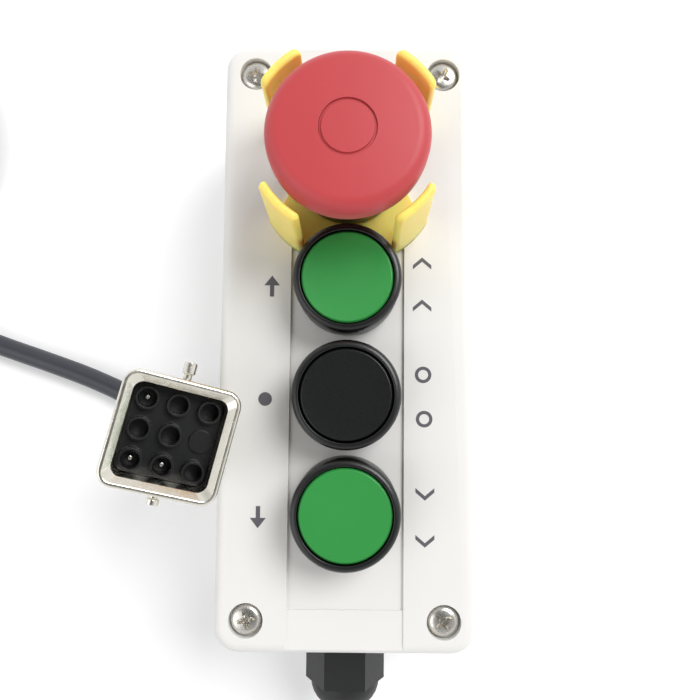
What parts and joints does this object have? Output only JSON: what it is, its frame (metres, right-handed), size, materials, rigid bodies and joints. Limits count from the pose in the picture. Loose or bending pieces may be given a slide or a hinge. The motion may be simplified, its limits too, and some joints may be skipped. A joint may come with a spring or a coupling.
{
  "type": "elevator inspection box",
  "caption": "Hand-held elevator inspection box with push buttons, a guarded mushroom stop button, a cable gland, a coiled lead and a square multi-contact plug.",
  "frame": {"origin": "centre of the box's back face, on the surface that it lies on", "axes": "+X across the box, +Y along it towards the stop button, +Z out of the lid"},
  "size_m": [0.2575, 0.2734, 0.0914],
  "materials": {
    "housing_plastic": "pale grey moulded ABS, satin",
    "black_plastic": "black moulded nylon, satin",
    "green_plastic": "green moulded plastic, satin gloss",
    "red_plastic": "red moulded plastic, satin",
    "yellow_plastic": "yellow moulded plastic, satin gloss",
    "gland_plastic": "black moulded nylon, matt",
    "rubber": "black seal rubber",
    "plated_steel": "nickel-plated steel, bright",
    "plated_zinc": "nickel-plated die-cast zinc, bright",
    "brass": "bright brass",
    "copper": "bare copper alloy",
    "cable_jacket": "dark grey cable jacket, satin",
    "core_insulation": "coloured wire insulation",
    "tie_fabric": "black hook-and-loop strap"
  },
  "bodies": {
    "housing": {"base_housing": "housing_plastic", "lid": "housing_plastic", "lid_gasket": "rubber", "lid_screws": "plated_steel", "screw_inserts": "brass", "stop_guard": "yellow_plastic", "stop_body": "black_plastic", "stop_panel_gasket": "rubber", "stop_ring_nut": "black_plastic", "stop_return_spring": "plated_steel", "stop_contact_block": "black_plastic", "stop_terminals": "brass", "gland_body": "gland_plastic", "gland_lock_nut": "gland_plastic", "gland_seal": "rubber", "gland_dome_nut": "gland_plastic", "cable_inner_end": "cable_jacket", "wire_cores": "core_insulation", "cord_lead": "cable_jacket", "cord_coil": "cable_jacket", "cord_tail": "cable_jacket", "coil_tie": "tie_fabric", "plug_hood": "plated_zinc", "plug_insert": "black_plastic", "plug_contacts": "plated_steel", "plug_locking_pegs": "plated_zinc", "plug_gland_nut": "plated_zinc", "down_bezel": "black_plastic", "down_panel_gasket": "rubber", "down_ring_nut": "black_plastic", "down_return_spring": "plated_steel", "down_contact_block": "black_plastic", "down_terminals": "brass", "common_bezel": "black_plastic", "common_panel_gasket": "rubber", "common_ring_nut": "black_plastic", "common_return_spring": "plated_steel", "common_contact_block": "black_plastic", "common_terminals": "brass", "up_bezel": "black_plastic", "up_panel_gasket": "rubber", "up_ring_nut": "black_plastic", "up_return_spring": "plated_steel", "up_contact_block": "black_plastic", "up_terminals": "brass"},
    "down_button": {"down_cap": "green_plastic", "down_contact_bridge": "copper"},
    "common_button": {"common_cap": "black_plastic", "common_contact_bridge": "copper"},
    "up_button": {"up_cap": "green_plastic", "up_contact_bridge": "copper"},
    "stop_plunger": {"stop_plunger": "black_plastic", "stop_contact_bridge": "copper"},
    "stop_head": {"stop_head": "red_plastic", "stop_head_disc": "red_plastic"}
  },
  "joints": [
    {"name": "down_press", "type": "slide", "parent": "housing", "child": "down_button", "axis": [0, 0, -1], "range_m": [0, 0.004], "stiffness_N_per_m": 500, "springref_m": -0.002, "deforming": ["down_return_spring"]},
    {"name": "common_press", "type": "slide", "parent": "housing", "child": "common_button", "axis": [0, 0, -1], "range_m": [0, 0.004], "stiffness_N_per_m": 500, "springref_m": -0.002, "deforming": ["common_return_spring"]},
    {"name": "up_press", "type": "slide", "parent": "housing", "child": "up_button", "axis": [0, 0, -1], "range_m": [0, 0.004], "stiffness_N_per_m": 500, "springref_m": -0.002, "deforming": ["up_return_spring"]},
    {"name": "stop_press", "type": "slide", "parent": "housing", "child": "stop_plunger", "axis": [0, 0, -1], "range_m": [0, 0.0055], "stiffness_N_per_m": 900, "springref_m": -0.004, "deforming": ["stop_return_spring"]},
    {"name": "stop_release_turn", "type": "hinge", "parent": "stop_plunger", "child": "stop_head", "pos_m": [0, 0.0465, 0.08], "axis": [0, 0, -1], "range_deg": [0, 45], "stiffness_Nm_per_rad": 0.02}
  ]
}
